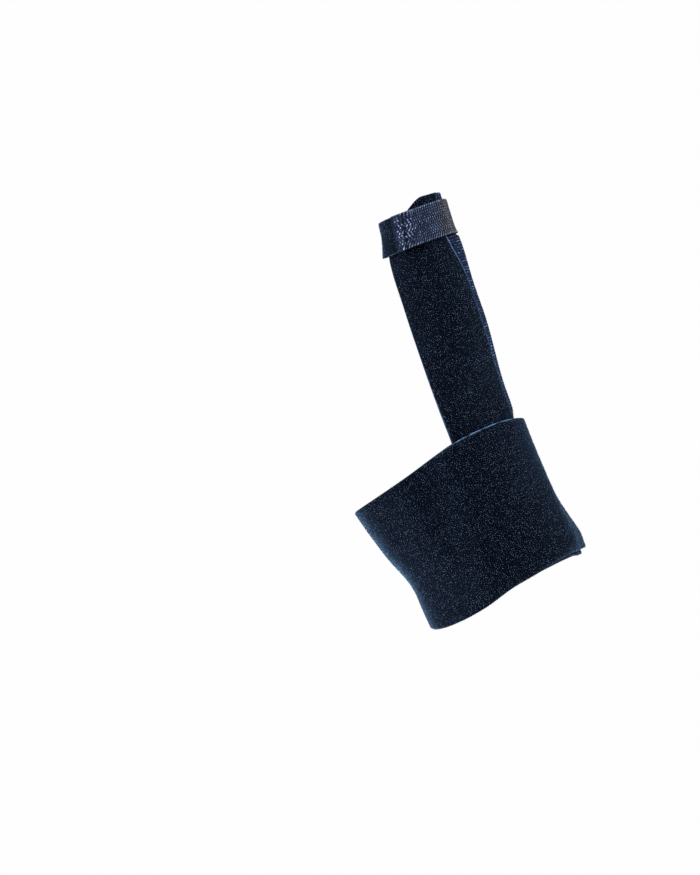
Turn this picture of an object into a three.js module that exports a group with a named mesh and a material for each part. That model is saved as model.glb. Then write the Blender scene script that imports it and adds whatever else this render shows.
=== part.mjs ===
// Thumb spica splint in the form that it has when worn: a soft band wound one and a half times round an oval
// hollow, a two-layer stay that rises from between the band's layers, and a strap that makes a ring with the
// stay's tip. Millimetres. +Z runs up the hollow towards the stay's tip, +X to the side where the stay
// stands and -Y to the front, where its cover faces. The origin is in the middle of the hollow, half way up
// the band.
import * as THREE from "three";

// Wrist band
const wristWidth = 58.4; // the hollow where it is narrowest
const wristDepth = 40.5;
const bandHeight = 55;
const bandThickness = 2.4;
const bandStart = -30; // inner end, in degrees from the front towards the stay's side
const bandWinding = 590; // degrees from the inner end to the outer end
const rimArch = 5; // how far the rims arch up on the front
const layerDrop = 1.6; // how far the inner layer shows below the outer one on the stay's side
const dropRows = { from: 85, full: 115, until: 170, gone: 260 }; // degrees after the inner end
const layerGap = 0.35; // between neighbouring pieces of cloth

// Closing tab at the band's outer end
const tabHeight = 38;
const tabLap = 12; // degrees of the tab under the band's end
const tabReach = 30; // degrees of the tab past the band's end
const tabThickness = 1.2;
const tabCorner = 6;

// Stay, in two layers, leaning away from the hollow
const stayFoot = 13.5; // from the middle of the hollow to the stay's axis
const stayLean = 11.5; // degrees
const stayReach = 124; // from the middle of the hollow to the stay's tip
const stayTuck = 17; // below the middle of the hollow, between the band's layers
const baseThickness = 1.5;
const coverThickness = 1.8;
const coverWidth = 30.5;
const coverEdge = 12.1; // from the stay's axis to the cover's long left edge
const coverNarrowing = 8; // taken off the cover's right edge towards the tip
const baseInset = 1.5; // the base's left edge lies this far inside the cover's
const baseMargin = 12; // the base shows this far past the cover's right edge
const tipCorner = 20.5; // run of the rounded corner on the left of the tip
const tipDrop = 15; // height of that corner
const tipBend = 1.5; // 1 is a straight cut
const smallCorner = 5;

// Ring at the stay's tip and the strap that makes it
const thumbWidth = 23.4;
const thumbDepth = 21;
const thumbSetback = 4.5; // the ring's middle lies this far behind the hollow's
const strapWidth = 13.8;
const strapTipMargin = 3.8; // the stay's tip stands this far out of the strap
const strapRise = 0.7; // the strap sits this much higher on the ring's right
const loopThickness = 1.8;
const loopBackWidth = 11.5;
const loopFront = -8; // degrees round the ring where the loop ends under the webbing
const loopTurn = 234; // degrees from there round the back to the loop's other end
const webbingThickness = 1.2;
const webbingLeft = -24; // degrees where the webbing begins, on the front of the ring
const webbingSlant = 10; // degrees between the two corners of that end
const webbingTurn = 240;

// Hollow up the band and a little above it, as shares of half its narrowest width and depth
const wristRows = [
  { at: 0.0, left: 1.08, right: 0.975, front: 1.04, back: 1.04 },
  { at: 0.14, left: 1.055, right: 0.945, front: 1.02, back: 1.02 },
  { at: 0.36, left: 1.025, right: 0.9, front: 1.0, back: 1.0 },
  { at: 0.61, left: 1.115, right: 0.92, front: 1.02, back: 1.02 },
  { at: 0.83, left: 1.17, right: 0.955, front: 1.05, back: 1.05 },
  { at: 1.0, left: 1.2, right: 1.0, front: 1.07, back: 1.08 },
  { at: 1.1, left: 1.22, right: 1.07, front: 1.08, back: 1.1 },
  { at: 1.3, left: 1.25, right: 1.12, front: 1.105, back: 1.13 },
];

// Rims round the hollow, in degrees, as shares of the rims' arch
const rimRows = [
  { at: -90, top: 0.0, bottom: 0.4 },
  { at: -60, top: 0.26, bottom: 0.0 },
  { at: -30, top: 0.55, bottom: 0.0 },
  { at: 0, top: 0.85, bottom: 0.3 },
  { at: 25, top: 1.0, bottom: 0.33 },
  { at: 50, top: 0.75, bottom: 0.38 },
  { at: 72, top: 0.12, bottom: 0.1 },
  { at: 90, top: -0.4, bottom: 0.0 },
  { at: 180, top: -0.1, bottom: 0.1 },
  { at: 270, top: 0.0, bottom: 0.4 },
];

// Inside of the stay and of the strap, as shares of the stay's reach, of half the ring's width and depth
// and of its setback
const thumbRows = [
  { at: 0.27, left: 2.05, right: 1.3, front: 1.62, back: 1.33, setback: -0.67 },
  { at: 0.48, left: 1.62, right: 1.29, front: 1.48, back: 1.24, setback: -0.1 },
  { at: 0.69, left: 1.32, right: 1.24, front: 1.29, back: 1.14, setback: 0.55 },
  { at: 0.85, left: 1.04, right: 1.27, front: 1.09, back: 1.04, setback: 0.91 },
  { at: 0.87, left: 0.93, right: 1.13, front: 1.05, back: 1.01, setback: 0.95 },
  { at: 0.92, left: 0.71, right: 1.11, front: 1.0, back: 0.98, setback: 1.0 },
  { at: 1.0, left: 0.6, right: 1.13, front: 0.97, back: 0.94, setback: 1.02 },
];

// The cover's left edge up the stay, as shares of the stay's reach and of coverEdge
const edgeRows = [
  { at: 0.0, edge: 1.0 },
  { at: 0.22, edge: 1.0 },
  { at: 0.4, edge: 1.09 },
  { at: 0.56, edge: 1.11 },
  { at: 0.69, edge: 1.1 },
  { at: 0.84, edge: 1.05 },
  { at: 0.92, edge: 0.8 },
  { at: 1.0, edge: 0.6 },
];
const wristSquareness = 2.3; // 2 is an ellipse, more is boxier
const thumbSquareness = 2;
const blendFrom = 0.27; // shares of the stay's reach where it leaves the band's form
const blendTo = 0.62; // and where it has the ring's
const narrowFrom = 0.7; // and where its cover starts to narrow
const degree = Math.PI / 180;
const lean = stayLean * degree;
// The cover's outer face, and what lies on it, over the base's inner face
const coverTop = baseThickness + layerGap + coverThickness;
const stayStack = coverTop + layerGap;

function ramp(value, from, to) {
  const share = Math.min(1, Math.max(0, (value - from) / (to - from)));
  return share * share * (3 - 2 * share);
}

// A smooth curve through one column of a table, going on straight past its ends
function readRows(rows, at, column) {
  const last = rows.length - 1;
  const slope = (i) => {
    const a = rows[Math.max(0, i - 1)];
    const b = rows[Math.min(last, i + 1)];
    return (b[column] - a[column]) / (b.at - a.at);
  };
  if (at <= rows[0].at) return rows[0][column] + slope(0) * (at - rows[0].at);
  if (at >= rows[last].at) return rows[last][column] + slope(last) * (at - rows[last].at);
  let i = 0;
  while (at > rows[i + 1].at) i += 1;
  const span = rows[i + 1].at - rows[i].at;
  const s = (at - rows[i].at) / span;
  const from = rows[i][column];
  const to = rows[i + 1][column];
  const straight = from + (to - from) * s * s * (3 - 2 * s);
  const bend = s * (1 - s) * span;
  return straight + bend * (1 - s) * slope(i) - bend * s * slope(i + 1);
}

// An oval whose four half sizes differ: turn is in degrees from -Y towards +X, offset goes out of it
function ovalPoint(half, squareness, turn, offset) {
  const bare = (degrees) => {
    const across = Math.sin(degrees * degree);
    const deep = Math.cos(degrees * degree);
    const x = Math.abs(across) / (across > 0 ? half.right : half.left);
    const y = Math.abs(deep) / (deep > 0 ? half.front : half.back);
    const radius = (x ** squareness + y ** squareness) ** (-1 / squareness);
    return new THREE.Vector2(radius * across, -radius * deep);
  };
  const along = bare(turn + 0.5).sub(bare(turn - 0.5)).normalize();
  return bare(turn).addScaledVector(new THREE.Vector2(along.y, -along.x), offset);
}

function wristPoint(z, turn, offset) {
  const at = z / bandHeight + 0.5;
  const half = {
    left: (readRows(wristRows, at, "left") * wristWidth) / 2,
    right: (readRows(wristRows, at, "right") * wristWidth) / 2,
    front: (readRows(wristRows, at, "front") * wristDepth) / 2,
    back: (readRows(wristRows, at, "back") * wristDepth) / 2,
  };
  const flat = ovalPoint(half, wristSquareness, turn, offset);
  return new THREE.Vector3(flat.x, flat.y, z);
}

// The stay's own frame: across its axis, deep along Y, and up its axis
function leaning(across, deep, up) {
  return new THREE.Vector3(
    stayFoot + up * Math.sin(lean) + across * Math.cos(lean),
    deep,
    up * Math.cos(lean) - across * Math.sin(lean),
  );
}

function thumbOval(up, turn, offset) {
  const at = up / stayReach;
  const half = {
    left: (readRows(thumbRows, at, "left") * thumbWidth) / 2,
    right: (readRows(thumbRows, at, "right") * thumbWidth) / 2,
    front: (readRows(thumbRows, at, "front") * thumbDepth) / 2,
    back: (readRows(thumbRows, at, "back") * thumbDepth) / 2,
  };
  const flat = ovalPoint(half, thumbSquareness, turn, offset);
  flat.y += readRows(thumbRows, at, "setback") * thumbSetback;
  return flat;
}

function thumbPoint(up, turn, offset) {
  const flat = thumbOval(up, turn, offset);
  return leaning(flat.x, flat.y, up);
}

// The turn that a tape reaches when it starts where a section crosses the line startX on the front of the
// section and is laid round it for a distance
function layRound(section, startX, distance) {
  const stride = 2;
  let turn = -84; // left of every cover edge
  let here = section(turn);
  while (here.x < startX) {
    turn += stride;
    here = section(turn);
  }
  const before = section(turn - stride);
  turn -= (stride * (here.x - startX)) / (here.x - before.x);
  here = section(turn);
  let left = distance;
  while (left > 0) {
    const next = section(turn + stride);
    const length = Math.hypot(next.x - here.x, next.y - here.y);
    if (length >= left) return turn + (stride * left) / length;
    left -= length;
    turn += stride;
    here = next;
  }
  return turn;
}

function coverEdgeAt(up) {
  return readRows(edgeRows, up / stayReach, "edge") * coverEdge;
}

// Turns round the hollow and round the ring of a point that lies a distance across the stay from the
// cover's left edge, up its axis
function stayTurnOnWrist(distance, up) {
  const section = (turn) => wristPoint(up * Math.cos(lean), turn, bandThickness + layerGap + coverTop);
  return layRound(section, leaning(-coverEdgeAt(up), 0, up).x, distance);
}

function stayTurnOnThumb(distance, up) {
  return layRound((turn) => thumbOval(up, turn, coverTop), -coverEdgeAt(up), distance);
}

// A point of the stay. It follows the hollow between the band's layers and the ring's section above them.
function stayPoint(distance, up, offset) {
  const share = ramp(up, blendFrom * stayReach, blendTo * stayReach);
  const onWrist = new THREE.Vector3();
  const onThumb = new THREE.Vector3();
  if (share < 1) {
    const turn = stayTurnOnWrist(distance, up);
    const lift = bandThickness + layerGap + offset;
    const level = wristPoint(up * Math.cos(lean), turn, lift);
    const across = level.x - stayFoot - up * Math.sin(lean);
    onWrist.copy(wristPoint(level.z - across * Math.tan(lean), turn, lift));
  }
  if (share > 0) onThumb.copy(thumbPoint(up, stayTurnOnThumb(distance, up), offset));
  return onWrist.lerp(onThumb, share);
}

// One closed shell of cloth. place gives the point at shares a and b of the sheet, on its inner face for
// side 0 and on its outer face for side 1.
function clothWall(place, aSteps, bSteps) {
  const points = [];
  const faces = [];
  const index = (a, b, side) => (side * (aSteps + 1) + a) * (bSteps + 1) + b;
  const quad = (p, q, r, s) => faces.push(p, q, r, p, r, s);
  for (let side = 0; side < 2; side += 1)
    for (let a = 0; a <= aSteps; a += 1)
      for (let b = 0; b <= bSteps; b += 1) points.push(...place(a / aSteps, b / bSteps, side).toArray());
  for (let a = 0; a < aSteps; a += 1)
    for (let b = 0; b < bSteps; b += 1) {
      quad(index(a, b, 1), index(a + 1, b, 1), index(a + 1, b + 1, 1), index(a, b + 1, 1));
      quad(index(a, b, 0), index(a, b + 1, 0), index(a + 1, b + 1, 0), index(a + 1, b, 0));
    }
  for (let a = 0; a < aSteps; a += 1) {
    quad(index(a, 0, 0), index(a + 1, 0, 0), index(a + 1, 0, 1), index(a, 0, 1));
    quad(index(a, bSteps, 1), index(a + 1, bSteps, 1), index(a + 1, bSteps, 0), index(a, bSteps, 0));
  }
  for (let b = 0; b < bSteps; b += 1) {
    quad(index(0, b, 1), index(0, b + 1, 1), index(0, b + 1, 0), index(0, b, 0));
    quad(index(aSteps, b, 0), index(aSteps, b + 1, 0), index(aSteps, b + 1, 1), index(aSteps, b, 1));
  }
  const geometry = new THREE.BufferGeometry();
  geometry.setAttribute("position", new THREE.Float32BufferAttribute(points, 3));
  geometry.setIndex(faces);
  geometry.computeVertexNormals();
  return geometry;
}

// How far a rounded corner cuts in at a distance from the end
function cornerCut(distance, radius) {
  const short = Math.max(0, radius - distance);
  return radius - Math.sqrt(radius * radius - short * short);
}

// Rim heights round the hollow, the turn taken into the table's range
function rimHeight(turn, column) {
  const inRange = ((((turn + 90) % 360) + 360) % 360) - 90;
  const side = column === "top" ? 0.5 : -0.5;
  return side * bandHeight + readRows(rimRows, inRange, column) * rimArch;
}

// How far the outer layer is lifted by the stay that lies under it
function liftOverStay(turn, z) {
  const leftRun = 34;
  const run = 14;
  const margin = 4;
  const bottomMargin = 4;
  const bottomRun = 8;
  const up = z / Math.cos(lean);
  const leftTurn = stayTurnOnWrist(0, up) - margin;
  const rightTurn = stayTurnOnWrist(coverWidth + baseMargin, up) + margin;
  const coverRight = stayTurnOnWrist(coverWidth, up) + margin;
  const overBase = baseThickness + layerGap;
  const overCover = coverThickness + layerGap;
  const lowEnd = ramp(z, -stayTuck - bottomMargin - bottomRun, -stayTuck - bottomMargin);
  const onLeft = ramp(turn, leftTurn - leftRun, leftTurn);
  const pastBase = ramp(turn, rightTurn, rightTurn + run);
  const pastCover = ramp(turn, coverRight, coverRight + run);
  return lowEnd * onLeft * (overBase * (1 - pastBase) + overCover * (1 - pastCover));
}

// How far the band's inner face lies outside the hollow, winding degrees after its inner end
function bandLift(winding, z) {
  const fullTurn = 360;
  const stepRun = 31;
  const tabRun = 14;
  const margin = 3;
  const outerFrom = 300; // no part of the outer layer lies on the stay before this
  const stepEnd = fullTurn - margin;
  const overLayer = (bandThickness + layerGap) * ramp(winding, stepEnd - stepRun, stepEnd);
  const overStay = winding > outerFrom ? liftOverStay(winding + bandStart - fullTurn, z) : 0;
  const tabFrom = bandWinding - tabLap - margin;
  const overTab = (tabThickness + layerGap) * ramp(winding, tabFrom - tabRun, tabFrom);
  return overLayer + overStay + overTab;
}

function bandPoint(a, b, side) {
  const winding = a * bandWinding;
  const turn = bandStart + winding;
  const dropped = ramp(winding, dropRows.from, dropRows.full);
  const drop = layerDrop * dropped * (1 - ramp(winding, dropRows.until, dropRows.gone));
  const low = rimHeight(turn, "bottom");
  const high = rimHeight(turn, "top");
  const z = low + (high - low) * b - drop;
  return wristPoint(z, turn, bandLift(winding, z) + side * bandThickness);
}

function tabPoint(a, b, side) {
  const turns = tabLap + tabReach;
  const turn = bandStart + bandWinding - tabLap + a * turns;
  const degreeLength = (wristWidth + wristDepth) * 0.25 * degree;
  const cut = cornerCut(Math.min(a, 1 - a) * turns * degreeLength, tabCorner);
  const z = (b - 0.5) * (tabHeight - 2 * cut);
  return wristPoint(z, turn, bandThickness + layerGap + side * tabThickness);
}

// The tip is rounded on its left, and every other corner of the stay a little
function stayTop(distance, width) {
  const left = tipDrop * Math.max(0, 1 - distance / tipCorner) ** tipBend;
  return stayReach - left - cornerCut(Math.max(0, width - distance), smallCorner);
}

function stayBottom(distance, from, width) {
  return -stayTuck + cornerCut(Math.max(0, Math.min(distance - from, width - distance)), smallCorner);
}

function coverWidthAt(up) {
  return coverWidth - coverNarrowing * ramp(up, narrowFrom * stayReach, stayReach);
}

// Spaces a share so that the rows and columns lie closer towards both ends
function towardsEnds(share) {
  const crowding = 0.1;
  return share - crowding * Math.sin(2 * Math.PI * share);
}

function basePoint(a, b, side) {
  const width = coverWidth + baseMargin;
  const distance = baseInset + (width - baseInset) * towardsEnds(a);
  const low = stayBottom(distance, baseInset, width);
  const up = low + (stayTop(distance, width) - low) * b;
  return stayPoint(distance, up, side * baseThickness);
}

function coverPoint(a, b, side) {
  const share = towardsEnds(a);
  const low = stayBottom(coverWidth * share, 0, coverWidth);
  const up = low + (stayTop(coverWidth * share, coverWidth + baseMargin) - low) * b;
  return stayPoint(coverWidthAt(up) * share, up, baseThickness + layerGap + side * coverThickness);
}

// How far up the stay a point of the strap lies, b being a share of the strap's width there
function strapUp(width, b, turn) {
  const middle = stayReach - strapTipMargin - strapWidth / 2;
  return middle + (b - 0.5) * width + strapRise * Math.sin(turn * degree);
}

// Lies right round the ring's back, and from its left side on over the cover
function loopPoint(a, b, side) {
  const narrowing = { from: -50, to: -90 };
  const offStay = { from: 52, to: 86 };
  const turn = loopFront - (1 - a) * loopTurn;
  const width = strapWidth - (strapWidth - loopBackWidth) * ramp(turn, narrowing.from, narrowing.to);
  const lift = stayStack * (1 - ramp(-turn, offStay.from, offStay.to));
  return thumbPoint(strapUp(width, b, turn), turn, lift + side * loopThickness);
}

// Lies on the loop's end, on the cover, on the base and then on the loop again
function webbingPoint(a, b, side) {
  const fall = 20; // degrees in which it comes down from an edge below it
  const margins = { loop: 2, cover: 3 };
  const ontoLoop = { from: 96, to: 112 };
  const start = webbingLeft + webbingSlant * (b - 0.5);
  const turn = start + a * (webbingTurn + webbingLeft - start);
  const up = strapUp(strapWidth, b, turn);
  const coverRight = stayTurnOnThumb(coverWidthAt(up), up);
  const overLoop = loopThickness + layerGap;
  const overBase = baseThickness + layerGap;
  const overCover = coverThickness + layerGap;
  const loopEnd = loopFront + margins.loop;
  const coverEnd = coverRight + margins.cover;
  const onLoopEnd = overLoop * (1 - ramp(turn, loopEnd, loopEnd + fall));
  const onStay = overBase + overCover * (1 - ramp(turn, coverEnd, coverEnd + fall));
  const loopAgain = (overLoop + layerGap - overBase) * ramp(turn, ontoLoop.from, ontoLoop.to);
  return thumbPoint(up, turn, onLoopEnd + onStay + loopAgain + side * webbingThickness);
}

const pileLaminate = new THREE.MeshStandardMaterial({ color: "#11192a", roughness: 0.95, metalness: 0 });
const indigoKnit = new THREE.MeshStandardMaterial({ color: "#22305a", roughness: 0.85, metalness: 0 });
const slateWebbing = new THREE.MeshStandardMaterial({ color: "#333c50", roughness: 0.7, metalness: 0 });

function piece(name, geometry, material) {
  const mesh = new THREE.Mesh(geometry, material);
  mesh.name = name;
  return mesh;
}

const stay = new THREE.Group();
stay.name = "stay";
stay.add(piece("stay_base", clothWall(basePoint, 14, 30), indigoKnit));
stay.add(piece("stay_cover", clothWall(coverPoint, 12, 30), pileLaminate));

const strap = new THREE.Group();
strap.name = "thumb_strap";
strap.add(piece("thumb_loop", clothWall(loopPoint, 36, 3), pileLaminate));
strap.add(piece("thumb_webbing", clothWall(webbingPoint, 38, 3), slateWebbing));

const band = new THREE.Group();
band.name = "wrist";
band.add(piece("wrist_band", clothWall(bandPoint, 118, 9), pileLaminate));
band.add(piece("wrist_tab", clothWall(tabPoint, 14, 5), slateWebbing));

const splint = new THREE.Group();
splint.name = "thumb_spica_splint";
splint.add(band, stay, strap);

export default splint;
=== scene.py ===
import math

import bpy
import numpy as np
from mathutils import Matrix, Vector


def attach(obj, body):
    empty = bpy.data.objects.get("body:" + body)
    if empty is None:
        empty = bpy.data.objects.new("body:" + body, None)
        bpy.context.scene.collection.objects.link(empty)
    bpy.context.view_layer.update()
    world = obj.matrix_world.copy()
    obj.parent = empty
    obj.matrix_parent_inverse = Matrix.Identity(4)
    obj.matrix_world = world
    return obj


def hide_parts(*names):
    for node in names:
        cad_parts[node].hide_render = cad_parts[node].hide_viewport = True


# Thumb spica splint in the form that it has when worn. +Z runs up the band's hollow towards the stay's tip,
# +X to the side where the stay stands and -Y to the front. Lengths are in millimetres and turns in degrees,
# as in the part's source, where no note says otherwise.
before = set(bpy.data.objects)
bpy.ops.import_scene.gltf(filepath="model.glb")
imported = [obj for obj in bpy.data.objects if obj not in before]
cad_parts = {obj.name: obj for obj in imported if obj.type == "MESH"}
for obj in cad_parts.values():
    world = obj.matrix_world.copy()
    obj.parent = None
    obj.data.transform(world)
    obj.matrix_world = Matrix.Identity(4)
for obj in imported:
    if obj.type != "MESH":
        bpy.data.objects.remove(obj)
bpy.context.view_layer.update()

print("thumb spica splint: measures")

wrist = {"width": 58.4, "depth": 40.5, "squareness": 2.3}
band = {"height": 55, "thickness": 2.4, "start": -30, "winding": 590, "rimArch": 5, "layerDrop": 1.6}
tab = {"height": 38, "lap": 12, "reach": 30, "thickness": 1.2, "corner": 6}
stay = {"foot": 13.5, "lean": math.radians(11.5), "reach": 124, "tuck": 17, "corner": 5,
        "blendFrom": 0.27, "blendTo": 0.62, "tipCorner": 20.5, "tipDrop": 15, "tipBend": 1.5}
base = {"thickness": 1.5, "inset": 1.5, "margin": 12}
cover = {"thickness": 1.8, "width": 30.5, "edge": 12.1, "narrowing": 8, "narrowFrom": 0.7}
thumb = {"width": 23.4, "depth": 21, "setback": 4.5, "squareness": 2}
strap = {"width": 13.8, "tipMargin": 3.8, "rise": 0.7}
loop = {"thickness": 1.8, "backWidth": 11.5, "front": -8, "turn": 234, "narrowing": (-50, -90),
        "offStay": (52, 86)}
webbing = {"thickness": 1.2, "left": -24, "slant": 10, "turn": 240, "fall": 20, "loopMargin": 2,
           "coverMargin": 3, "ontoLoop": (96, 112)}
gap = 0.35  # between neighbouring pieces of cloth
coverTop = base["thickness"] + gap + cover["thickness"]
strapMiddle = stay["reach"] - strap["tipMargin"] - strap["width"] / 2

# The hollow's section up the band, as shares of half its narrowest width and depth
wristRows = {
    "at": (0.0, 0.14, 0.36, 0.61, 0.83, 1.0, 1.1, 1.3),
    "left": (1.08, 1.055, 1.025, 1.115, 1.17, 1.2, 1.22, 1.25),
    "right": (0.975, 0.945, 0.9, 0.92, 0.955, 1.0, 1.07, 1.12),
    "front": (1.04, 1.02, 1.0, 1.02, 1.05, 1.07, 1.08, 1.105),
    "back": (1.04, 1.02, 1.0, 1.02, 1.05, 1.08, 1.1, 1.13),
}
# The band's rims round the hollow, in degrees, as shares of the rims' arch
rimRows = {
    "at": (-90, -60, -30, 0, 25, 50, 72, 90, 180, 270),
    "top": (0.0, 0.26, 0.55, 0.85, 1.0, 0.75, 0.12, -0.4, -0.1, 0.0),
    "bottom": (0.4, 0.0, 0.0, 0.3, 0.33, 0.38, 0.1, 0.0, 0.1, 0.4),
}
# The section up the stay and the strap's ring, as shares of the stay's reach, of half the ring's width and
# depth, and of its setback
thumbRows = {
    "at": (0.27, 0.48, 0.69, 0.85, 0.87, 0.92, 1.0),
    "left": (2.05, 1.62, 1.32, 1.04, 0.93, 0.71, 0.6),
    "right": (1.3, 1.29, 1.24, 1.27, 1.13, 1.11, 1.13),
    "front": (1.62, 1.48, 1.29, 1.09, 1.05, 1.0, 0.97),
    "back": (1.33, 1.24, 1.14, 1.04, 1.01, 0.98, 0.94),
    "setback": (-0.67, -0.1, 0.55, 0.91, 0.95, 1.0, 1.02),
}
# The cover's left edge up the stay, as a share of its usual distance from the axis
edgeRows = {
    "at": (0.0, 0.22, 0.4, 0.56, 0.69, 0.84, 0.92, 1.0),
    "edge": (1.0, 1.0, 1.09, 1.11, 1.1, 1.05, 0.8, 0.6),
}


def ramp(value, low, high):
    share = np.clip((value - low) / (high - low), 0, 1)
    return share * share * (3 - 2 * share)


# A smooth curve through one column of a table, going on straight past its ends
def readRows(rows, at, column):
    place = np.array(rows["at"], float)
    size = np.array(rows[column], float)
    slope = np.empty_like(size)
    slope[1:-1] = (size[2:] - size[:-2]) / (place[2:] - place[:-2])
    slope[0] = (size[1] - size[0]) / (place[1] - place[0])
    slope[-1] = (size[-1] - size[-2]) / (place[-1] - place[-2])
    at = np.asarray(at, float)
    index = np.clip(np.searchsorted(place, at, side="right") - 1, 0, len(place) - 2)
    span = place[index + 1] - place[index]
    share = np.clip((at - place[index]) / span, 0, 1)
    bend = share * (1 - share) * span
    inside = size[index] + (size[index + 1] - size[index]) * share * share * (3 - 2 * share)
    inside += bend * ((1 - share) * slope[index] - share * slope[index + 1])
    before = slope[0] * (np.minimum(at, place[0]) - place[0])
    after = slope[-1] * (np.maximum(at, place[-1]) - place[-1])
    return inside + before + after


# An oval with four half sizes: turn is from -Y towards +X, offset goes out of it
def ovalPoint(half, squareness, turn, offset):
    def bare(degrees):
        across = np.sin(np.radians(degrees))
        deep = np.cos(np.radians(degrees))
        x = np.abs(across) / np.where(across > 0, half["right"], half["left"])
        y = np.abs(deep) / np.where(deep > 0, half["front"], half["back"])
        radius = (x ** squareness + y ** squareness) ** (-1 / squareness)
        return radius * across, -radius * deep

    nextX, nextY = bare(turn + 0.5)
    lastX, lastY = bare(turn - 0.5)
    run = np.hypot(nextX - lastX, nextY - lastY)
    x, y = bare(turn)
    return x + offset * (nextY - lastY) / run, y - offset * (nextX - lastX) / run


def halfSizes(rows, at, width, depth):
    sizes = {side: readRows(rows, at, side) * width / 2 for side in ("left", "right")}
    sizes.update({side: readRows(rows, at, side) * depth / 2 for side in ("front", "back")})
    return sizes


def wristPoint(z, turn, offset):
    half = halfSizes(wristRows, z / band["height"] + 0.5, wrist["width"], wrist["depth"])
    x, y = ovalPoint(half, wrist["squareness"], turn, offset)
    return np.stack(np.broadcast_arrays(x, y, z), axis=-1)


# The stay's own frame: across its axis, deep along Y, and up its axis
def leaning(across, deep, up):
    sine, cosine = math.sin(stay["lean"]), math.cos(stay["lean"])
    x = stay["foot"] + up * sine + across * cosine
    return np.stack(np.broadcast_arrays(x, deep, up * cosine - across * sine), axis=-1)


def thumbOval(up, turn, offset):
    at = up / stay["reach"]
    half = halfSizes(thumbRows, at, thumb["width"], thumb["depth"])
    x, y = ovalPoint(half, thumb["squareness"], turn, offset)
    return x, y + readRows(thumbRows, at, "setback") * thumb["setback"]


def thumbPoint(up, turn, offset):
    x, y = thumbOval(up, turn, offset)
    return leaning(x, y, up)


# Turns reached by a tape that starts on the line startX and is laid round each section: one row for each
# height up the stay, one column for each half millimetre of tape
tapeStep = 0.5
tapeSteps = np.arange(0, 52, tapeStep)


def tapeTable(ups, section, startX):
    turns = np.arange(-84, 230, 1.0)
    table = np.empty((len(ups), len(tapeSteps)))
    for row, up in enumerate(ups):
        x, y = section(up, turns)
        first = int(np.argmax(x >= startX[row]))
        share = (startX[row] - x[first - 1]) / (x[first] - x[first - 1])
        onLine = turns[first - 1] + share
        startAt = section(up, np.array([onLine]))
        x = np.concatenate([startAt[0], x[first:]])
        y = np.concatenate([startAt[1], y[first:]])
        laid = np.concatenate([[0], np.cumsum(np.hypot(np.diff(x), np.diff(y)))])
        table[row] = np.interp(tapeSteps, laid, np.concatenate([[onLine], turns[first:]]))
    return table


def lookUp(ups, table, up, distance):
    up, distance = np.broadcast_arrays(up, distance)
    row = np.clip((up - ups[0]) / (ups[1] - ups[0]), 0, len(ups) - 1.001)
    column = np.clip(distance / tapeStep, 0, len(tapeSteps) - 1.001)
    low, left = row.astype(int), column.astype(int)
    rise, run = row - low, column - left
    below = table[low, left] * (1 - run) + table[low, left + 1] * run
    above = table[low + 1, left] * (1 - run) + table[low + 1, left + 1] * run
    return below * (1 - rise) + above * rise


def coverEdgeAt(up):
    return readRows(edgeRows, up / stay["reach"], "edge") * cover["edge"]


def wristSection(up, turn):
    point = wristPoint(up * math.cos(stay["lean"]), turn, band["thickness"] + gap + coverTop)
    return point[..., 0], point[..., 1]


wristUps = np.arange(-44, 84, 1.0)
thumbUps = np.arange(30, 128, 1.0)
wristTable = tapeTable(wristUps, wristSection, leaning(-coverEdgeAt(wristUps), 0, wristUps)[:, 0])
thumbTable = tapeTable(thumbUps, lambda up, turn: thumbOval(up, turn, coverTop), -coverEdgeAt(thumbUps))


def turnOnWrist(distance, up):
    return lookUp(wristUps, wristTable, up, distance)


def turnOnThumb(distance, up):
    return lookUp(thumbUps, thumbTable, up, distance)


# A point of the stay, which follows the hollow between the band's layers and the ring's section above them
def stayPoint(distance, up, offset):
    share = ramp(up, stay["blendFrom"] * stay["reach"], stay["blendTo"] * stay["reach"])[..., None]
    turn = turnOnWrist(distance, up)
    lift = band["thickness"] + gap + offset
    level = wristPoint(up * math.cos(stay["lean"]), turn, lift)
    across = level[..., 0] - stay["foot"] - up * math.sin(stay["lean"])
    onWrist = wristPoint(level[..., 2] - across * math.tan(stay["lean"]), turn, lift)
    onThumb = thumbPoint(up, turnOnThumb(distance, up), offset)
    return onWrist * (1 - share) + onThumb * share


def cornerCut(distance, radius):
    short = np.maximum(0, radius - distance)
    return radius - np.sqrt(radius * radius - short * short)


# Soft unevenness of sewn cloth: a few crossing waves, from -1 to 1
def uneven(x, y, wave, seed):
    total = np.zeros(np.broadcast(x, y).shape)
    for step in range(5):
        heading = 2.4 * step + seed
        along = x * math.cos(heading) + y * math.sin(heading)
        size = wave * (0.7 + 0.23 * step)
        total += np.sin(2 * math.pi * along / size + 1.7 * seed * step)
    return total / 5


print("thumb spica splint: colours and materials")


def linear(code):
    parts = [int(code[i : i + 2], 16) / 255 for i in (1, 3, 5)]
    return [p / 12.92 if p <= 0.04045 else ((p + 0.055) / 1.055) ** 2.4 for p in parts] + [1]


def addNode(tree, kind, inputs=None, **settings):
    node = tree.nodes.new(kind)
    for name, value in settings.items():
        setattr(node, name, value)
    for key, value in (inputs or {}).items():
        if isinstance(value, bpy.types.NodeSocket):
            tree.links.new(value, node.inputs[key])
        else:
            node.inputs[key].default_value = value
    return node


def newMaterial(name):
    material = bpy.data.materials.new(name)
    material.use_nodes = True
    material.node_tree.nodes.clear()
    return material, material.node_tree


def finishMaterial(tree, colour, normal, surface):
    shader = addNode(tree, "ShaderNodeBsdfPrincipled", {"Base Color": colour, "Metallic": 0})
    if normal is not None:
        tree.links.new(normal, shader.inputs["Normal"])
    for key, value in surface.items():
        shader.inputs[key].default_value = value
    addNode(tree, "ShaderNodeOutputMaterial", {"Surface": shader.outputs[0]})


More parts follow.
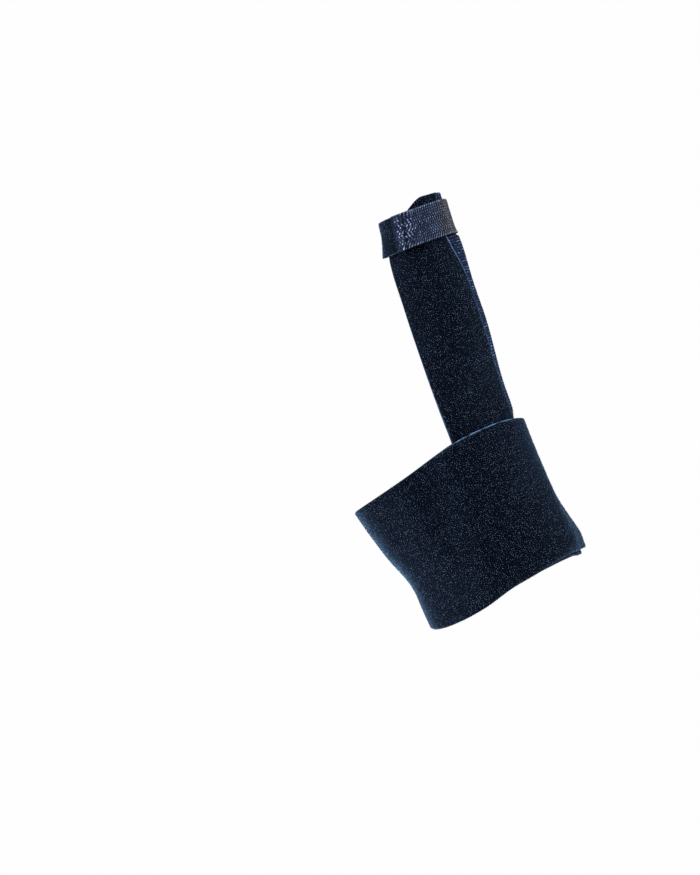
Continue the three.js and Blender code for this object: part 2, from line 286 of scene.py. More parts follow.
def fillRamp(node, stops):
    band = node.color_ramp
    while len(band.elements) > 1:
        band.elements.remove(band.elements[-1])
    band.elements[0].position = stops[0][0]
    band.elements[0].color = linear(stops[0][1])
    for place, code in stops[1:]:
        band.elements.new(place).color = linear(code)


# Brushed loops knitted on foam: each loop is a dull speck, and together they take no gloss. The cut edge
# shows the lighter backing yarn.
pileLook = {
    "stops": ((0.3, "#010208"), (0.5, "#02050d"), (0.68, "#070c18"), (0.85, "#101828")),
    "loop": 0.42,  # mm from loop to loop
    "drift": 22,  # mm between darker and lighter patches
    "cutYarn": "#5a7ea8",
    "sheen": "#6f9ccc",
}


def pileMaterial():
    material, tree = newMaterial("brushed loop pile, knitted and laminated to foam")
    place = addNode(tree, "ShaderNodeTexCoord").outputs["Object"]
    loops = addNode(tree, "ShaderNodeTexNoise", {
        "Vector": place, "Scale": 1000 / pileLook["loop"], "Detail": 1})
    patches = addNode(tree, "ShaderNodeTexNoise", {
        "Vector": place, "Scale": 1000 / pileLook["drift"], "Detail": 2})
    quiet = addNode(tree, "ShaderNodeMapRange", {0: patches.outputs[0], 1: 0.3, 2: 0.7, 3: -0.03, 4: 0.03})
    mixed = addNode(tree, "ShaderNodeMath", {0: loops.outputs[0], 1: quiet.outputs[0]}, operation="ADD")
    level = addNode(tree, "ShaderNodeMapRange", {0: mixed.outputs[0], 1: 0.32, 2: 0.68, 3: 0.0, 4: 0.6})
    colour = addNode(tree, "ShaderNodeValToRGB", {0: level.outputs[0]})
    fillRamp(colour, pileLook["stops"])
    cut = addNode(tree, "ShaderNodeAttribute", attribute_name="cutYarn")
    edged = addNode(tree, "ShaderNodeMix", {
        "Factor": cut.outputs["Fac"], 6: colour.outputs[0], 7: linear(pileLook["cutYarn"])},
        data_type="RGBA")
    relief = addNode(tree, "ShaderNodeBump", {
        "Height": loops.outputs[0], "Strength": 0.7, "Distance": 0.0003})
    finishMaterial(tree, edged.outputs[2], relief.outputs[0], {
        "Roughness": 0.95, "Specular IOR Level": 0.02, "Sheen Weight": 0.8, "Sheen Roughness": 0.31,
        "Sheen Tint": linear(pileLook["sheen"])})
    return material


# Single loops standing out of the pile: the same yarn, each with its own shade
tuftShades = ((0.0, "#0b121c"), (0.5, "#212d3e"), (1.0, "#4c5b71"))


def tuftMaterial():
    material, tree = newMaterial("brushed pile yarn, solution-dyed nylon")
    tone = addNode(tree, "ShaderNodeAttribute", attribute_name="tone")
    colour = addNode(tree, "ShaderNodeValToRGB", {0: tone.outputs["Fac"]})
    fillRamp(colour, tuftShades)
    finishMaterial(tree, colour.outputs[0], None, {
        "Roughness": 0.8, "Specular IOR Level": 0.03, "Sheen Weight": 0.4, "Sheen Roughness": 0.31,
        "Sheen Tint": linear(pileLook["sheen"])})
    return material


# Plain jersey on the inner face of the foam laminate: smooth, matt and darker than the pile
liningLook = {"stitch": 0.8, "stops": ((0.35, "#0a0f1c"), (0.65, "#161e30"))}


def liningMaterial():
    material, tree = newMaterial("plain jersey, circular-knitted and flame-laminated")
    place = addNode(tree, "ShaderNodeTexCoord").outputs["Object"]
    stitch = addNode(tree, "ShaderNodeTexNoise", {
        "Vector": place, "Scale": 1000 / liningLook["stitch"], "Detail": 2})
    colour = addNode(tree, "ShaderNodeValToRGB", {0: stitch.outputs[0]})
    fillRamp(colour, liningLook["stops"])
    relief = addNode(tree, "ShaderNodeBump", {
        "Height": stitch.outputs[0], "Strength": 0.4, "Distance": 0.0001})
    finishMaterial(tree, colour.outputs[0], relief.outputs[0], {
        "Roughness": 0.9, "Specular IOR Level": 0.15})
    return material


# The cut side of the laminate: open foam with light yarn ends
cutLook = {"cell": 0.7, "stops": ((0.35, "#060b16"), (0.6, "#14233c"), (0.75, "#3a5680"))}


def cutMaterial():
    material, tree = newMaterial("die-cut edge of foam laminate")
    place = addNode(tree, "ShaderNodeTexCoord").outputs["Object"]
    cells = addNode(tree, "ShaderNodeTexNoise", {
        "Vector": place, "Scale": 1000 / cutLook["cell"], "Detail": 3})
    colour = addNode(tree, "ShaderNodeValToRGB", {0: cells.outputs[0]})
    fillRamp(colour, cutLook["stops"])
    relief = addNode(tree, "ShaderNodeBump", {
        "Height": cells.outputs[0], "Strength": 0.6, "Distance": 0.0002})
    finishMaterial(tree, colour.outputs[0], relief.outputs[0], {
        "Roughness": 0.95, "Specular IOR Level": 0.1})
    return material


# Weft-knitted fabric of the stay's base: indigo yarn, its slight gloss on the ridges a painted highlight,
# with painted shade between them
knitLook = {
    "fleck": 0.5,
    "stops": ((0.1, "#01030a"), (0.35, "#060c1c"), (0.52, "#10203f"), (0.68, "#4a6ea6"), (0.86, "#8cb0e0")),
}


def knitMaterial():
    material, tree = newMaterial("rib-knitted polyester, piece-dyed indigo")
    ridge = addNode(tree, "ShaderNodeAttribute", attribute_name="ridge")
    place = addNode(tree, "ShaderNodeTexCoord").outputs["Object"]
    flecks = addNode(tree, "ShaderNodeTexNoise", {
        "Vector": place, "Scale": 1000 / knitLook["fleck"], "Detail": 1})
    clear = addNode(tree, "ShaderNodeMapRange", {0: flecks.outputs[0], 1: 0.3, 2: 0.68, 3: 0.0, 4: 1.0})
    mixed = addNode(tree, "ShaderNodeMath", {
        0: ridge.outputs["Fac"], 1: clear.outputs[0]}, operation="MULTIPLY")
    colour = addNode(tree, "ShaderNodeValToRGB", {0: mixed.outputs[0]})
    fillRamp(colour, knitLook["stops"])
    relief = addNode(tree, "ShaderNodeBump", {
        "Height": flecks.outputs[0], "Strength": 0.5, "Distance": 0.0001})
    finishMaterial(tree, colour.outputs[0], relief.outputs[0], {
        "Roughness": 0.8, "Specular IOR Level": 0.03, "Sheen Weight": 0.02, "Sheen Tint": linear("#7a98d8")})
    return material


# Twill tape woven of thick textured yarn: each float painted lighter as a painted highlight for its dull
# sheen, painted shade between them
twillLook = {
    "fleck": 0.5,
    "stops": ((0.0, "#030712"), (0.2, "#10182a"), (0.45, "#323c52"), (0.7, "#646d86"), (1.0, "#a6aacc")),
}


def twillMaterial():
    material, tree = newMaterial("herringbone tape, woven of textured polyester")
    yarn = addNode(tree, "ShaderNodeAttribute", attribute_name="yarn")
    place = addNode(tree, "ShaderNodeTexCoord").outputs["Object"]
    flecks = addNode(tree, "ShaderNodeTexNoise", {
        "Vector": place, "Scale": 1000 / twillLook["fleck"], "Detail": 1})
    lifted = addNode(tree, "ShaderNodeMapRange", {0: flecks.outputs[0], 1: 0.3, 2: 0.7, 3: -0.12, 4: 0.12})
    mixed = addNode(tree, "ShaderNodeMath", {0: yarn.outputs["Fac"], 1: lifted.outputs[0]}, operation="ADD")
    colour = addNode(tree, "ShaderNodeValToRGB", {0: mixed.outputs[0]})
    fillRamp(colour, twillLook["stops"])
    grey = addNode(tree, "ShaderNodeAttribute", attribute_name="grey")
    plain = addNode(tree, "ShaderNodeRGBToBW", {0: colour.outputs[0]})
    faded = addNode(tree, "ShaderNodeMix", {
        "Factor": grey.outputs["Fac"], 6: colour.outputs[0], 7: plain.outputs[0]}, data_type="RGBA")
    finishMaterial(tree, faded.outputs[2], None, {
        "Roughness": 0.8, "Specular IOR Level": 0.03, "Sheen Weight": 0.03, "Sheen Tint": linear("#9fb0d0")})
    return material


# Smooth filament thread, coloured nearly black as painted shade, so that a stitch shows as a dark gap in the
# tape
def threadMaterial():
    material, tree = newMaterial("bonded nylon sewing thread")
    finishMaterial(tree, linear("#05080f"), None, {"Roughness": 0.7, "Specular IOR Level": 0.05})
    return material


pile = pileMaterial()
tuftYarn = tuftMaterial()
lining = liningMaterial()
cutFoam = cutMaterial()
knit = knitMaterial()
twill = twillMaterial()
thread = threadMaterial()

print("thumb spica splint: sheets")


# Steps along a side in mm, close together at both ends, as shares of the side
def sharesAlong(length, step):
    ends = np.cumsum([0, 0.15, 0.2, 0.25, 0.3, 0.4, 0.5])
    count = max(2, round((length - 2 * ends[-1]) / step) + 1)
    middle = np.linspace(ends[-1], length - ends[-1], count)
    return np.concatenate([ends[:-1], middle, (length - ends[::-1])[1:]]) / length


def sheetShares(sheet):
    along = sharesAlong(sheet["length"], sheet["step"])
    return np.meshgrid(along, sharesAlong(sheet["height"], sheet["step"]), indexing="ij")


def newMesh(name, points, faces, materials):
    mesh = bpy.data.meshes.new(name)
    mesh.from_pydata((points / 1000).tolist(), [], faces.tolist())
    for material in materials:
        mesh.materials.append(material)
    obj = bpy.data.objects.new(name, mesh)
    bpy.context.scene.collection.objects.link(obj)
    return obj


def setValues(mesh, name, values):
    layer = mesh.attributes.new(name, "FLOAT", "POINT")
    layer.data.foreach_set("value", np.ascontiguousarray(values, dtype=np.float32).ravel())


def gridFaces(index):
    corners = (index[:-1, :-1], index[1:, :-1], index[1:, 1:], index[:-1, 1:])
    return np.stack(corners, axis=-1).reshape(-1, 4)


def stripFaces(first, second):
    return np.stack((first[:-1], first[1:], second[1:], second[:-1]), axis=-1)


# A sheet's relief grows from nothing to full over the first fade mm from its border, its flat map has a side
# of mapSide mm, and edges that turn more than sharp aren't smoothed
clothForm = {"fade": 0.6, "mapSide": 100, "sharp": math.radians(50)}


# One closed sheet of cloth. place(a, b, lift) gives points in mm at shares a and b of its length and height,
# lift mm over its inner face; rim is how much of the wall is left at the cut edge, the rest is rounded off.
# relief(x, y) lifts the outer face, and marks(x, y) gives the cloth's named values; x and y are in mm.
# The materials are those of the outer face, the cut sides and the inner face.
def clothSheet(name, place, sheet, wall, materials, rim=0.5, relief=None, marks=None):
    shareA, shareB = sheetShares(sheet)
    x, y = shareA * sheet["length"], shareB * sheet["height"]
    border = np.minimum(np.minimum(x, sheet["length"] - x), np.minimum(y, sheet["height"] - y))
    rounding = wall / 2
    arc = np.sqrt(np.maximum(0, 1 - (1 - np.minimum(border, rounding) / rounding) ** 2))
    half = wall / 2 * (rim + (1 - rim) * arc)
    raised = 0 if relief is None else relief(x, y) * np.clip(border / clothForm["fade"], 0, 1)
    outer = place(shareA, shareB, wall / 2 + half + raised)
    inner = place(shareA, shareB, wall / 2 - half)
    index = np.arange(shareA.size).reshape(shareA.shape)
    back = index + shareA.size
    outerFaces = gridFaces(index)
    innerFaces = gridFaces(back)[:, ::-1]
    sides = np.concatenate([
        stripFaces(back[:, 0], index[:, 0]),
        stripFaces(index[:, -1], back[:, -1]),
        stripFaces(index[0, :], back[0, :]),
        stripFaces(back[-1, :], index[-1, :]),
    ])
    points = np.concatenate([outer.reshape(-1, 3), inner.reshape(-1, 3)])
    obj = newMesh(name, points, np.concatenate([outerFaces, innerFaces, sides]), materials)
    mesh = obj.data
    slots = [0] * len(outerFaces) + [2] * len(innerFaces) + [1] * len(sides)
    mesh.polygons.foreach_set("material_index", slots)
    corners = np.empty(len(mesh.loops), dtype=np.int32)
    mesh.loops.foreach_get("vertex_index", corners)
    flat = np.tile(np.stack([x.ravel(), y.ravel()], axis=-1) / clothForm["mapSide"], (2, 1))
    mesh.uv_layers.new(name="flat").data.foreach_set("uv", flat[corners].ravel().astype(np.float32))
    for key, values in (marks(x, y) if marks else {}).items():
        setValues(mesh, key, np.tile(values.ravel(), 2))
    mesh.shade_smooth()
    mesh.set_sharp_from_angle(angle=clothForm["sharp"])
    middle = place(shareA, shareB, np.full(shareA.shape, wall / 2))
    along = np.linalg.norm(np.diff(middle, axis=0), axis=-1).sum(axis=0)
    up = np.linalg.norm(np.diff(middle, axis=1), axis=-1).sum(axis=1)
    print(f"  {name}: {len(mesh.polygons)} faces, {np.median(along):.1f} by {np.median(up):.1f} mm flat")
    return obj, outer, index


# A thin line along an edge, from the distance to the edge and the line's width in mm
def edgeLine(distance, width, strength):
    return np.clip(strength - distance / width, 0, 1)


# Height of a rim of the band, the turn taken into the table's range
def bandRim(turn, side):
    inRange = np.mod(turn + 90, 360) - 90
    half = 0.5 if side == "top" else -0.5
    return half * band["height"] + readRows(rimRows, inRange, side) * band["rimArch"]


underStay = {"leftRun": 34, "run": 14, "margin": 4, "lowMargin": 4, "lowRun": 8}


# How far the band's outer layer is lifted by the stay that lies under it
def liftOverStay(turn, z):
    margin, run = underStay["margin"], underStay["run"]
    up = z / math.cos(stay["lean"])
    leftTurn = turnOnWrist(0, up) - margin
    rightTurn = turnOnWrist(cover["width"] + base["margin"], up) + margin
    coverRight = turnOnWrist(cover["width"], up) + margin
    lowest = -stay["tuck"] - underStay["lowMargin"]
    lowEnd = ramp(z, lowest - underStay["lowRun"], lowest)
    onLeft = ramp(turn, leftTurn - underStay["leftRun"], leftTurn)
    onBase = (base["thickness"] + gap) * (1 - ramp(turn, rightTurn, rightTurn + run))
    onCover = (cover["thickness"] + gap) * (1 - ramp(turn, coverRight, coverRight + run))
    return lowEnd * onLeft * (onBase + onCover)


# Where the band changes its level, in degrees after its inner end
bandSteps = {"drop": (85, 115), "rise": (170, 260), "outerFrom": 300, "overLayer": (326, 357),
             "tabMargin": 3, "tabRun": 14}


def bandLift(winding, z):
    overLayer = (band["thickness"] + gap) * ramp(winding, *bandSteps["overLayer"])
    onStay = liftOverStay(winding + band["start"] - 360, z)
    overStay = np.where(winding > bandSteps["outerFrom"], onStay, 0)
    tabFrom = band["winding"] - tab["lap"] - bandSteps["tabMargin"]
    overTab = (tab["thickness"] + gap) * ramp(winding, tabFrom - bandSteps["tabRun"], tabFrom)
    return overLayer + overStay + overTab


def bandPlace(a, b, lift):
    winding = a * band["winding"]
    turn = band["start"] + winding
    dropped = ramp(winding, *bandSteps["drop"]) * (1 - ramp(winding, *bandSteps["rise"]))
    low, high = bandRim(turn, "bottom"), bandRim(turn, "top")
    z = low + (high - low) * b - band["layerDrop"] * dropped
    return wristPoint(z, turn, bandLift(winding, z) + lift)


bandSheet = {"length": 290, "height": 57, "step": 1.0, "cutLine": 0.33, "soft": 0.22, "crowding": 2.7,
             "lineFrom": (6, 26), "lineTo": (66, 86), "outerShows": (226, 232), "innerShows": (60, 80)}


# How much of the light cut line shows along the top rim: in short breaks, and most over the stay
def rimLine(x):
    broken = np.clip(0.35 + 1.3 * uneven(x, 0, 2.4, 1.3), 0, 1)
    turn = band["start"] + x / bandSheet["length"] * band["winding"] - 360
    return broken * ramp(turn, *bandSheet["lineFrom"]) * (1 - ramp(turn, *bandSheet["lineTo"]))


def bandMarks(x, y):
    fromTop, toEnd = bandSheet["height"] - y, bandSheet["length"] - x
    onRim = edgeLine(fromTop, bandSheet["cutLine"], 1.4) * (0.03 + 0.7 * rimLine(x))
    onEnd = edgeLine(toEnd, bandSheet["cutLine"], 1.4) * (0.6 + 0.4 * uneven(x, y, 5.0, 1.3))
    return {"cutYarn": np.clip(np.maximum(onRim, onEnd), 0, 1)}


def bandRelief(x, y):
    return bandSheet["soft"] * 0.5 * (uneven(x, y, 26, 0.4) + 0.5 * uneven(x, y, 9, 2.2))


wristBand, bandOuter, bandIndex = clothSheet(
    "wrist_band_cloth", bandPlace, bandSheet, band["thickness"], (pile, cutFoam, lining), rim=0.55,
    relief=bandRelief, marks=bandMarks)


def tabPlace(a, b, lift):
    turns = tab["lap"] + tab["reach"]
    turn = band["start"] + band["winding"] - tab["lap"] + a * turns
    degreeLength = (wrist["width"] + wrist["depth"]) * 0.25 * math.radians(1)
    cut = cornerCut(np.minimum(a, 1 - a) * turns * degreeLength, tab["corner"])
    z = (b - 0.5) * (tab["height"] - 2 * cut)
    return wristPoint(z, turn, band["thickness"] + gap + lift)


# The tip is rounded on its left, and every other corner of the stay a little
def stayTop(distance, width):
    left = stay["tipDrop"] * np.maximum(0, 1 - distance / stay["tipCorner"]) ** stay["tipBend"]
    return stay["reach"] - left - cornerCut(np.maximum(0, width - distance), stay["corner"])


def stayBottom(distance, start, width):
    near = np.maximum(0, np.minimum(distance - start, width - distance))
    return -stay["tuck"] + cornerCut(near, stay["corner"])


def coverWidthAt(up):
    narrow = ramp(up, cover["narrowFrom"] * stay["reach"], stay["reach"])
    return cover["width"] - cover["narrowing"] * narrow


# Ridges across the stay, drawn about twice as coarse as a real knit's, which would be too fine to show. Its
# right edge is toothed by their ends.
baseSheet = {"length": 41, "height": 141, "step": 0.5, "wale": 1.15, "course": 0.95, "ridge": 0.2,
             "tooth": 0.22, "toothFrom": 0.9}


def basePlace(a, b, lift):
    width = cover["width"] + base["margin"]
    distance = base["inset"] + (width - base["inset"]) * a
    low = stayBottom(distance, base["inset"], width)
    up = low + (stayTop(distance, width) - low) * b
    wave = np.sin(2 * math.pi * up / baseSheet["wale"])
    tooth = baseSheet["tooth"] * wave * ramp(a, baseSheet["toothFrom"], 1.0)
    return stayPoint(distance + tooth, up, lift)


def knitRidge(x, y):
    wale = 0.5 + 0.5 * np.cos(2 * math.pi * y / baseSheet["wale"])
    course = 0.5 + 0.5 * np.cos(2 * math.pi * x / baseSheet["course"] + math.pi * wale)
    return wale * (0.55 + 0.45 * course)


# The ridge value paints each knit ridge lighter and the gaps between ridges darker: painted highlight and
# painted shade
stayBase = clothSheet(
    "stay_base_cloth", basePlace, baseSheet, base["thickness"], (knit, cutFoam, knit),
    relief=lambda x, y: baseSheet["ridge"] * (knitRidge(x, y) - 0.5),
    marks=lambda x, y: {"ridge": 0.25 + 0.75 * knitRidge(x, y)})[0]

coverSheet = {"length": 30.5, "height": 141, "step": 0.8, "cutLine": 0.4, "soft": 0.14, "crowding": 2.7,
              "brighter": (0.68, 0.8), "shows": (0.2, 0.24), "bareLeft": (0.1, 0.4), "bareRight": (0.4, 0.9)}


def coverPlace(a, b, lift):
    low = stayBottom(cover["width"] * a, 0, cover["width"])
    up = low + (stayTop(cover["width"] * a, cover["width"] + base["margin"]) - low) * b
    return stayPoint(coverWidthAt(up) * a, up, base["thickness"] + gap + lift)


def coverMarks(x, y):
    broken = np.clip(0.5 + 0.7 * uneven(x, y, 3.4, 0.7), 0, 1)
    left = edgeLine(x, coverSheet["cutLine"], 1.3) * broken * 0.3
    upper = 0.35 + 0.65 * ramp(y / coverSheet["height"], *coverSheet["brighter"])
    frayed = 0.6 + 0.5 * uneven(x, y, 2.6, 3.1)
    right = edgeLine(coverSheet["length"] - x, coverSheet["cutLine"], 1.6) * frayed * upper
    return {"cutYarn": np.clip(np.maximum(left, right), 0, 1)}


stayCover, coverOuter, coverIndex = clothSheet(
    "stay_cover_cloth", coverPlace, coverSheet, cover["thickness"], (pile, cutFoam, lining), rim=0.55,
    relief=lambda x, y: coverSheet["soft"] * 0.5 * uneven(x, y, 17, 1.9), marks=coverMarks)

loopSheet = {"length": 50, "height": 13.8, "step": 0.8, "cutLine": 0.4, "crowding": 2.7}


# The strap sits a little higher on the ring's right side than on its left
def strapUp(width, b, turn):
    return strapMiddle + (b - 0.5) * width + strap["rise"] * np.sin(np.radians(turn))


def loopPlace(a, b, lift):
    turn = loop["front"] - (1 - a) * loop["turn"]
    width = strap["width"] - (strap["width"] - loop["backWidth"]) * ramp(turn, *loop["narrowing"])
    onStay = (coverTop + gap) * (1 - ramp(-turn, *loop["offStay"]))
    return thumbPoint(strapUp(width, b, turn), turn, onStay + lift)


def loopMarks(x, y):
    side = np.minimum(y, loopSheet["height"] - y)
    line = edgeLine(side, loopSheet["cutLine"], 1.3) * (0.12 + 0.15 * uneven(x, y, 4.0, 2.7))
    return {"cutYarn": np.clip(line, 0, 1)}


thumbLoop, loopOuter, loopIndex = clothSheet(
    "thumb_loop_cloth", loopPlace, loopSheet, loop["thickness"], (pile, cutFoam, lining), marks=loopMarks)

# The tape's floats and rows are drawn about twice as coarse as real ones, which would be too fine to show.
# It is worn rough near its end and greyer on its right.
webbingSheet = {
    "length": 66, "height": 13.8, "step": 0.18, "float": 1.0, "row": 0.99, "yarn": 0.25, "slope": 0.37,
    "chevron": 3, "loose": 0.8, "rise": 0.15, "stitchLine": 3.7, "worn": (7, 18), "frayed": (5.2, 8.7),
    "greyer": (14, 24), "bluer": (35, 42), "selvedge": (0.3, 0.9), "paintedShadeEnd": (0.3, 2.0)}


def webbingPlace(a, b, lift):
    start = webbing["left"] + webbing["slant"] * (b - 0.5)
    turn = start + a * (webbing["turn"] + webbing["left"] - start)
    up = strapUp(strap["width"], b, turn)
    coverRight = turnOnThumb(coverWidthAt(up), up)
    overLoop, overBase = loop["thickness"] + gap, base["thickness"] + gap
    loopEnd = loop["front"] + webbing["loopMargin"]
    coverEnd = coverRight + webbing["coverMargin"]
    onLoopEnd = overLoop * (1 - ramp(turn, loopEnd, loopEnd + webbing["fall"]))
    onCover = (cover["thickness"] + gap) * (1 - ramp(turn, coverEnd, coverEnd + webbing["fall"]))
    onStay = overBase + onCover
    loopAgain = (overLoop + gap - overBase) * ramp(turn, *webbing["ontoLoop"])
    return thumbPoint(up, turn, onLoopEnd + onStay + loopAgain + lift)


# A share that looks random and is the same at every run
def scatter(number):
    return np.mod(np.sin(number) * 43758.5453, 1)


# Weft floats of a broken twill: each is a short raised dash, and every row is set half a float further, back
# and forth in chevrons. Gives the height of the yarn, which also sets the tape's painted highlight and
# shade, and a chance value for each float.
def weave(x, y, sheet):
    row = np.floor(y / sheet["row"])
    turning = np.mod(row, 2 * sheet["chevron"])
    heading = np.where(turning < sheet["chevron"], 1, -1)
    across = x / sheet["float"] - 0.5 * np.minimum(turning, 2 * sheet["chevron"] - turning)
    across = across + sheet["loose"] * scatter(row * 37.719)
    up = (np.mod(y / sheet["row"], 1) - 0.5) * sheet["row"]
    aside = (np.mod(across, 1) - 0.5) * sheet["float"] - heading * sheet["slope"] * up
    chance = scatter(np.floor(across) * 12.9898 + row * 78.233)
    return np.exp(-(aside / sheet["yarn"]) ** 2 - (up / (0.55 * sheet["row"])) ** 2), chance


def webbingRelief(x, y):
    return webbingSheet["rise"] * (weave(x, y, webbingSheet)[0] - 0.5)


def webbingMarks(x, y):
    height, chance = weave(x, y, webbingSheet)
    worn = 1 - 0.5 * ramp(x, *webbingSheet["worn"])
    # The tone follows the yarn's height: painted highlight on the floats and painted shade between them;
    # some floats are darker at random, more so near the end
    tone = 0.03 + 0.74 * height * (1 - 0.6 * worn * chance)
    frayed = (1 - ramp(x, *webbingSheet["frayed"])) * (1 - chance)
    rim = 1 - ramp(np.minimum(y, webbingSheet["height"] - y), *webbingSheet["selvedge"])
    # The first 2 mm of the tape's left end, where it turns away round the thumb, are darkened to a quarter:
    # painted shade
    paintedEndShade = 0.25 + 0.75 * ramp(x, *webbingSheet["paintedShadeEnd"])
    grey = 0.75 * ramp(x, *webbingSheet["greyer"]) * (1 - ramp(x, *webbingSheet["bluer"]))
    return {"yarn": np.clip(tone + 0.22 * frayed * height + 0.1 * rim, 0, 1) * paintedEndShade, "grey": grey}


thumbWebbing = clothSheet(
    "thumb_webbing_cloth", webbingPlace, webbingSheet, webbing["thickness"], (twill, twill, twill),
    relief=webbingRelief, marks=webbingMarks)[0]

tabSheet = {"length": 21.5, "height": 38, "step": 0.3, "float": 1.3, "row": 1.2, "yarn": 0.36, "slope": 0.4,
            "chevron": 4, "loose": 0.1, "rise": 0.15}
# The tab's yarn value follows the yarn's height as well: painted highlight on the floats, painted shade
# between them
wristTab = clothSheet(
    "wrist_tab_cloth", tabPlace, tabSheet, tab["thickness"], (twill, twill, twill),
    relief=lambda x, y: tabSheet["rise"] * (weave(x, y, tabSheet)[0] - 0.5),
    marks=lambda x, y: {"yarn": 0.12 + 0.4 * weave(x, y, tabSheet)[0]})[0]

print("thumb spica splint: pile and stitches")


def newTree(name, inputs):
    tree = bpy.data.node_groups.new(name, "GeometryNodeTree")
    tree.interface.new_socket("Geometry", in_out="INPUT", socket_type="NodeSocketGeometry")
    for label, kind in inputs:
        tree.interface.new_socket(label, in_out="INPUT", socket_type="NodeSocket" + kind)
    tree.interface.new_socket("Geometry", in_out="OUTPUT", socket_type="NodeSocketGeometry")
    return tree, addNode(tree, "NodeGroupInput").outputs


# Beads stood on a cloth's outer face, as many as its pileShare says, each leaning its own way
def pileTree():
    tree, given = newTree("brushed pile", (
        ("Density", "Float"), ("Spacing", "Float"), ("Length", "Float"), ("Width", "Float"),
        ("Lean", "Float"), ("Seed", "Int"), ("Material", "Material")))
    share = addNode(tree, "GeometryNodeInputNamedAttribute", {"Name": "pileShare"}, data_type="FLOAT")
    spots = addNode(tree, "GeometryNodeDistributePointsOnFaces", {
        "Mesh": given["Geometry"], "Distance Min": given["Spacing"], "Density Max": given["Density"],
        "Density Factor": share.outputs[0], "Seed": given["Seed"]}, distribute_method="POISSON")
    bead = addNode(tree, "GeometryNodeMeshUVSphere", {"Segments": 4, "Rings": 2, "Radius": 0.5})
    form = addNode(tree, "ShaderNodeCombineXYZ", {0: given["Width"], 1: given["Width"], 2: given["Length"]})
    tuft = addNode(tree, "GeometryNodeTransform", {
        "Geometry": bead.outputs["Mesh"], "Scale": form.outputs[0]})
    down = addNode(tree, "ShaderNodeMath", {0: given["Lean"], 1: -1}, operation="MULTIPLY")
    least = addNode(tree, "ShaderNodeCombineXYZ", {0: down.outputs[0], 1: down.outputs[0], 2: 0})
    most = addNode(tree, "ShaderNodeCombineXYZ", {0: given["Lean"], 1: given["Lean"], 2: 2 * math.pi})
    tilt = addNode(tree, "FunctionNodeRandomValue", {
        0: least.outputs[0], 1: most.outputs[0], "Seed": given["Seed"]}, data_type="FLOAT_VECTOR")
    euler = addNode(tree, "FunctionNodeEulerToRotation", {0: tilt.outputs[0]})
    turned = addNode(tree, "FunctionNodeRotateRotation", {
        0: spots.outputs["Rotation"], 1: euler.outputs[0]}, rotation_space="LOCAL")
    size = addNode(tree, "FunctionNodeRandomValue", {
        2: 0.8, 3: 1.15, "Seed": given["Seed"]}, data_type="FLOAT")
    planted = addNode(tree, "GeometryNodeInstanceOnPoints", {
        "Points": spots.outputs["Points"], "Instance": tuft.outputs[0], "Rotation": turned.outputs[0],
        "Scale": size.outputs[1]})
    shade = addNode(tree, "FunctionNodeRandomValue", {2: 0.0, 3: 1.0, "Seed": 7}, data_type="FLOAT")
    shaded = addNode(tree, "GeometryNodeStoreNamedAttribute", {
        "Geometry": planted.outputs[0], "Name": "tone", "Value": shade.outputs[1]},
        data_type="FLOAT", domain="INSTANCE")
    real = addNode(tree, "GeometryNodeRealizeInstances", {0: shaded.outputs[0]})
    dyed = addNode(tree, "GeometryNodeSetMaterial", {
        "Geometry": real.outputs[0], "Material": given["Material"]})
    addNode(tree, "NodeGroupOutput", {0: dyed.outputs[0]})
    return tree


# Stitches laid at even steps along a line of edges, each turned to the line
def stitchTree():
    tree, given = newTree("stitch row", (
        ("Pitch", "Float"), ("Length", "Float"), ("Width", "Float"), ("Material", "Material")))
    line = addNode(tree, "GeometryNodeMeshToCurve", {0: given["Geometry"]})
    spots = addNode(tree, "GeometryNodeResampleCurve", {
        "Curve": line.outputs[0], "Length": given["Pitch"]}, mode="LENGTH")
    bead = addNode(tree, "GeometryNodeMeshUVSphere", {"Segments": 8, "Rings": 6, "Radius": 0.5})
    size = addNode(tree, "ShaderNodeCombineXYZ", {
        0: given["Length"], 1: given["Width"], 2: given["Width"]})
    heading = addNode(tree, "GeometryNodeInputTangent")
    turned = addNode(tree, "FunctionNodeAlignRotationToVector", {"Vector": heading.outputs[0]}, axis="X")
    sewn = addNode(tree, "GeometryNodeInstanceOnPoints", {
        "Points": spots.outputs[0], "Instance": bead.outputs[0], "Rotation": turned.outputs[0],
        "Scale": size.outputs[0]})
    real = addNode(tree, "GeometryNodeRealizeInstances", {0: sewn.outputs[0]})
    dyed = addNode(tree, "GeometryNodeSetMaterial", {
        "Geometry": real.outputs[0], "Material": given["Material"]})
    addNode(tree, "NodeGroupOutput", {0: dyed.outputs[0]})
    return tree


# Runs a tree on an object once and keeps the result as a plain mesh
def grow(obj, tree, values):
    modifier = obj.modifiers.new(tree.name, "NODES")
    modifier.node_group = tree
    for item in tree.interface.items_tree:
        if item.in_out == "INPUT" and item.name in values:
            modifier[item.identifier] = values[item.name]
    graph = bpy.context.evaluated_depsgraph_get()
    made = bpy.data.meshes.new_from_object(obj.evaluated_get(graph), depsgraph=graph)
    obj.modifiers.remove(modifier)
    obj.data = made
    print(f"  {obj.name}: {len(made.polygons)} faces")
    return obj


tufts = pileTree()
stitches = stitchTree()
# Sizes of a bead in metres. Real loops are about half as thick, and would be too fine to show. At a crowding
# of 1 there are up to density beads to a square metre, and none nearer than spacing, in metres.
tuftLook = {"Length": 0.0005, "Width": 0.00034, "Lean": 0.7, "Seed": 4, "Material": tuftYarn}
tuftCrowd = {"density": 3e6, "spacing": 0.82e-3}


def growPile(name, outer, index, share, crowding):
    obj = newMesh(name, outer.reshape(-1, 3), gridFaces(index), ())
    setValues(obj.data, "pileShare", share)
    density = crowding * tuftCrowd["density"]
    spacing = tuftCrowd["spacing"] / math.sqrt(crowding)
    return grow(obj, tufts, dict(tuftLook, Density=density, Spacing=spacing))


